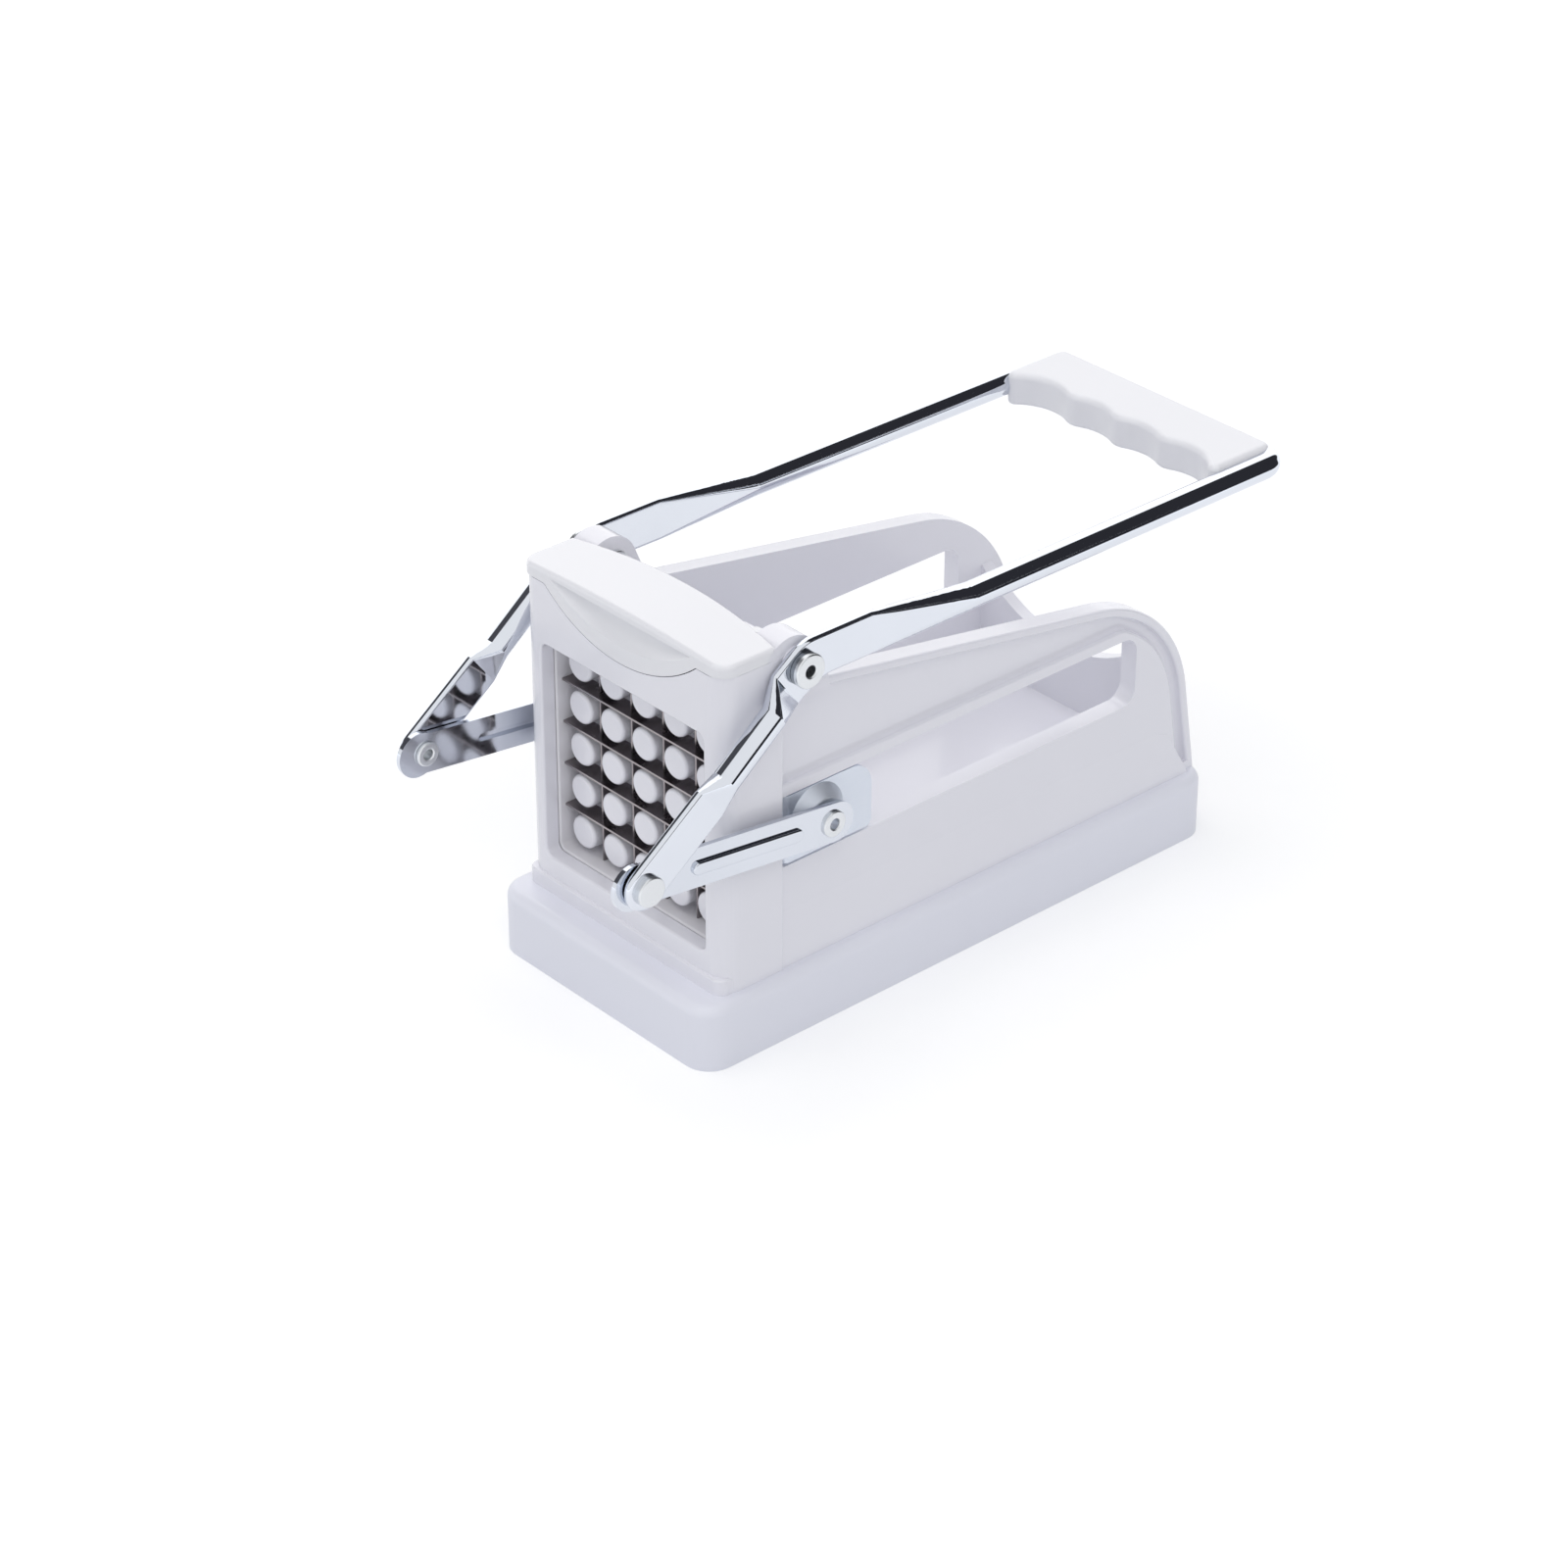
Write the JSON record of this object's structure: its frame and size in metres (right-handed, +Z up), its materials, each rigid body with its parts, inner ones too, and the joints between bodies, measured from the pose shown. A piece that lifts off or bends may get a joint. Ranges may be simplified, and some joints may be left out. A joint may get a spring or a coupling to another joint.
{
  "type": "french fry cutter",
  "caption": "Hand lever press that pushes a potato through a square blade grid, with a hinged lid, a U shaped handle and a suction base.",
  "frame": {"origin": "middle of the suction base's underside, on the surface it stands on", "axes": "+Z up, -Y towards the blade grid where the sticks come out, +Y towards the handle, +X towards the near long side"},
  "size_m": [0.1006, 0.2453, 0.1199],
  "materials": {
    "base_rubber": "soft satin white",
    "white_plastic": "glossy white moulding",
    "grey_plastic": "white moulding, a little greyer",
    "blade_steel": "thin ground stainless strip",
    "chrome_tube": "mirror chrome",
    "plated_strip": "bright plated strip",
    "bracket_steel": "dull plated pressing",
    "nickel_steel": "nickel plated rivet",
    "dark_steel": "darkened washer",
    "zinc_steel": "zinc plated screw"
  },
  "bodies": {
    "frame": {"suction_base": "base_rubber", "body_shell": "white_plastic", "cartridge_front_frame": "grey_plastic", "cartridge_rear_frame": "grey_plastic", "cartridge_screws": "zinc_steel", "blade_upright_1": "blade_steel", "blade_upright_2": "blade_steel", "blade_upright_3": "blade_steel", "blade_upright_4": "blade_steel", "blade_level_1": "blade_steel", "blade_level_2": "blade_steel", "blade_level_3": "blade_steel", "blade_level_4": "blade_steel", "lid_hinge_pins": "zinc_steel", "pivot_rivet_left": "nickel_steel", "pivot_rivet_right": "nickel_steel", "pivot_washer_left": "dark_steel", "pivot_washer_right": "dark_steel", "base_screws": "zinc_steel"},
    "lever_assembly": {"lever": "chrome_tube", "grip_upper": "white_plastic", "grip_lower": "white_plastic", "grip_screws": "zinc_steel", "crank_rivet_left": "nickel_steel", "crank_rivet_right": "nickel_steel"},
    "link_right_assembly": {"link_right": "plated_strip", "wrist_rivet_right": "nickel_steel"},
    "link_left_assembly": {"link_left": "plated_strip", "wrist_rivet_left": "nickel_steel"},
    "pusher": {"pusher_block": "white_plastic", "pusher_bracket": "bracket_steel", "pusher_screws": "zinc_steel"},
    "lid_flap": {"lid": "white_plastic"}
  },
  "joints": [
    {"name": "lever_pivot", "type": "hinge", "parent": "frame", "child": "lever_assembly", "pos_m": [0, -0.0609, 0.1112], "axis": [1, 0, 0], "range_deg": [0, 90]},
    {"name": "link_right_pivot", "type": "hinge", "parent": "lever_assembly", "child": "link_right_assembly", "pos_m": [0.0443, -0.1172, 0.0695], "axis": [1, 0, 0], "range_deg": [-80, 2]},
    {"name": "link_left_pivot", "type": "hinge", "parent": "lever_assembly", "child": "link_left_assembly", "pos_m": [-0.0443, -0.1172, 0.0695], "axis": [1, 0, 0], "range_deg": [-80, 2]},
    {"name": "pusher_slide", "type": "slide", "parent": "frame", "child": "pusher", "axis": [0, 1, 0], "range_m": [0, 0.099]},
    {"name": "lid_hinge", "type": "hinge", "parent": "frame", "child": "lid_flap", "pos_m": [0, -0.0609, 0.1112], "axis": [-1, 0, 0], "range_deg": [0, 100]}
  ],
  "couplings": [
    {"joint": "link_right_pivot", "follows": "lever_pivot", "ratio": -0.85904},
    {"joint": "link_left_pivot", "follows": "lever_pivot", "ratio": -0.85904},
    {"joint": "pusher_slide", "follows": "lever_pivot", "m_per_rad": 0.062474}
  ]
}
